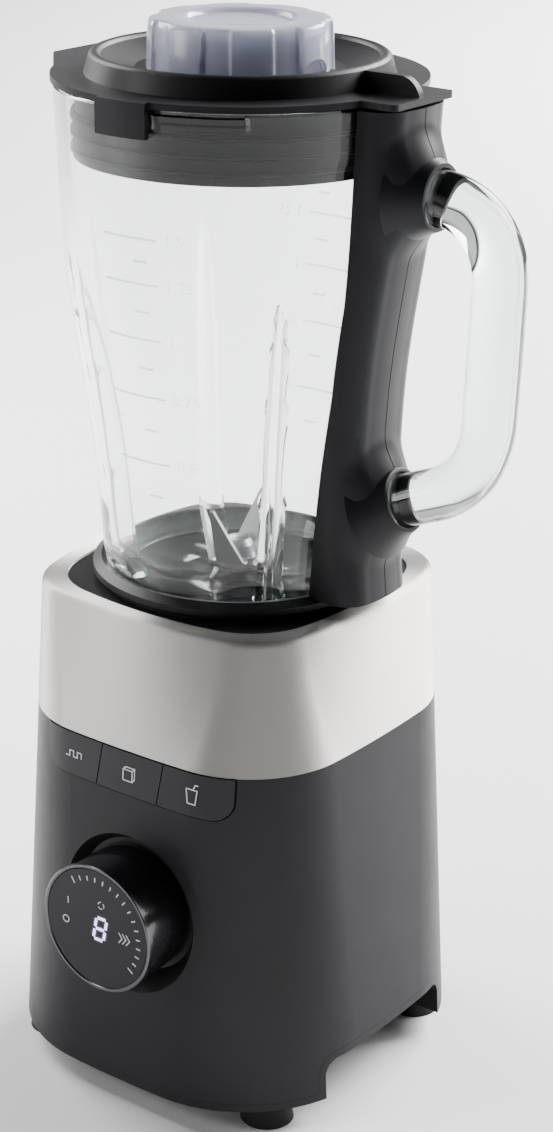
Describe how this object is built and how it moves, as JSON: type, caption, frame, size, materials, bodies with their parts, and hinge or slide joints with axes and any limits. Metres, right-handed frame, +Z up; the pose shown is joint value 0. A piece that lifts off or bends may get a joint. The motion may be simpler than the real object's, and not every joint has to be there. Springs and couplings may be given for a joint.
{
  "type": "countertop blender",
  "caption": "Countertop blender: tapered black motor base with a brushed steel collar, push keys and a display dial, glass jug with a loop handle, black spine, lid and clear measuring cap.",
  "frame": {"origin": "on the blade and motor axis, in the plane of the counter that the feet stand on", "axes": "+Z up along the blade axis, -Y out of the control face, +X to the handle, -X to the pouring lip"},
  "size_m": [0.2113, 0.179, 0.4317],
  "materials": {
    "black_plastic": "satin moulded black with a fine grain",
    "seat_black": "satin moulded black",
    "button_plastic": "smooth satin black with small white symbols",
    "dial_black": "polished black",
    "dial_trim": "thin dark chrome edge",
    "dial_face": "smoked satin disc with white scale marks",
    "brushed_steel": "stainless, brushed round the collar",
    "blade_steel": "ground stainless",
    "screw_steel": "zinc plated",
    "shaft_steel": "turned steel",
    "iron_laminations": "stacked sheet iron",
    "copper_wire": "enamelled copper",
    "bush_bronze": "sintered bronze",
    "bracket_aluminium": "die cast",
    "clear_glass": "clear pressed glass, slightly green where thick",
    "smoky_plastic": "clear smoky moulding",
    "black_rubber": "soft black",
    "coupling_nylon": "glass filled nylon",
    "circuit_board": "glass fibre laminate",
    "component_plastic": "moulded components",
    "brush_carbon": "pressed carbon",
    "digit_module": "light module behind the dial face"
  },
  "bodies": {
    "base": {"base_housing": "black_plastic", "bottom_cover": "black_plastic", "suction_feet": "black_rubber", "cover_screws": "screw_steel", "steel_collar": "brushed_steel", "seat_plate": "seat_black", "seat_seal": "black_rubber", "seat_screws": "screw_steel", "interlock_switch": "component_plastic", "stator_core": "iron_laminations", "field_coils": "copper_wire", "motor_top_bracket": "bracket_aluminium", "motor_bottom_bracket": "bracket_aluminium", "shaft_bearings": "shaft_steel", "motor_bolts": "screw_steel", "rubber_mounts": "black_rubber", "mount_screws": "screw_steel", "brush_holders": "component_plastic", "carbon_brushes": "brush_carbon", "fan_duct": "coupling_nylon", "control_board": "circuit_board", "board_components": "component_plastic", "cord_gland": "black_rubber", "button_board": "circuit_board", "tact_switches": "component_plastic", "dial_lens": "dial_face", "display_board": "circuit_board", "digit_module": "digit_module", "dial_post": "coupling_nylon", "dial_encoder": "component_plastic"},
    "motor_rotor": {"rotor_core": "iron_laminations", "rotor_windings": "copper_wire", "commutator": "copper_wire", "cooling_fan": "coupling_nylon", "motor_shaft": "shaft_steel", "drive_coupling": "coupling_nylon"},
    "dial": {"dial_ring": "dial_black", "dial_trim": "dial_trim"},
    "pulse_key": {"pulse_button": "button_plastic"},
    "ice_key": {"ice_button": "button_plastic"},
    "blend_key": {"blend_button": "button_plastic"},
    "interlock": {"interlock_pin": "coupling_nylon"},
    "jug": {"jug_glass": "clear_glass", "jug_seal": "black_rubber", "blade_carrier": "seat_black", "carrier_bush": "bush_bronze", "jug_base_ring": "seat_black", "spine_near_shell": "black_plastic", "spine_far_shell": "black_plastic", "spine_screws": "screw_steel"},
    "blade_unit": {"blade_shaft": "shaft_steel", "upper_blades": "blade_steel", "lower_blades": "blade_steel", "blade_spacer": "blade_steel", "blade_nut": "blade_steel", "driven_coupling": "coupling_nylon"},
    "lid": {"lid": "black_plastic", "lid_gasket": "black_rubber"},
    "cap": {"measuring_cap": "smoky_plastic"}
  },
  "joints": [
    {"name": "motor_spin", "type": "hinge", "parent": "base", "child": "motor_rotor", "pos_m": [0, 0, 0.1], "axis": [0, 0, 1], "continuous": true},
    {"name": "jug_lift", "type": "slide", "parent": "base", "child": "jug", "axis": [0, 0, 1], "range_m": [0, 0.06]},
    {"name": "blade_spin", "type": "hinge", "parent": "jug", "child": "blade_unit", "pos_m": [0, 0, 0.205], "axis": [0, 0, 1], "continuous": true},
    {"name": "lid_lift", "type": "slide", "parent": "jug", "child": "lid", "axis": [0, 0, 1], "range_m": [0, 0.045]},
    {"name": "cap_lift", "type": "slide", "parent": "lid", "child": "cap", "axis": [0, 0, 1], "range_m": [0, 0.035]},
    {"name": "interlock_travel", "type": "slide", "parent": "base", "child": "interlock", "axis": [0, 0, 1], "range_m": [0, 0.003]},
    {"name": "dial_turn", "type": "hinge", "parent": "base", "child": "dial", "pos_m": [0.0035, -0.085, 0.0869], "axis": [0, -1, 0], "range_deg": [-240, 0]},
    {"name": "pulse_press", "type": "slide", "parent": "base", "child": "pulse_key", "axis": [0, 1, 0], "range_m": [0, 0.0012], "stiffness_N_per_m": 300, "springref_m": -0.003},
    {"name": "ice_press", "type": "slide", "parent": "base", "child": "ice_key", "axis": [0, 1, 0], "range_m": [0, 0.0012], "stiffness_N_per_m": 300, "springref_m": -0.003},
    {"name": "blend_press", "type": "slide", "parent": "base", "child": "blend_key", "axis": [0, 1, 0], "range_m": [0, 0.0012], "stiffness_N_per_m": 300, "springref_m": -0.003}
  ],
  "couplings": [
    {"joint": "blade_spin", "follows": "motor_spin", "ratio": 1},
    {"joint": "interlock_travel", "follows": "jug_lift", "ratio": 0.05}
  ]
}
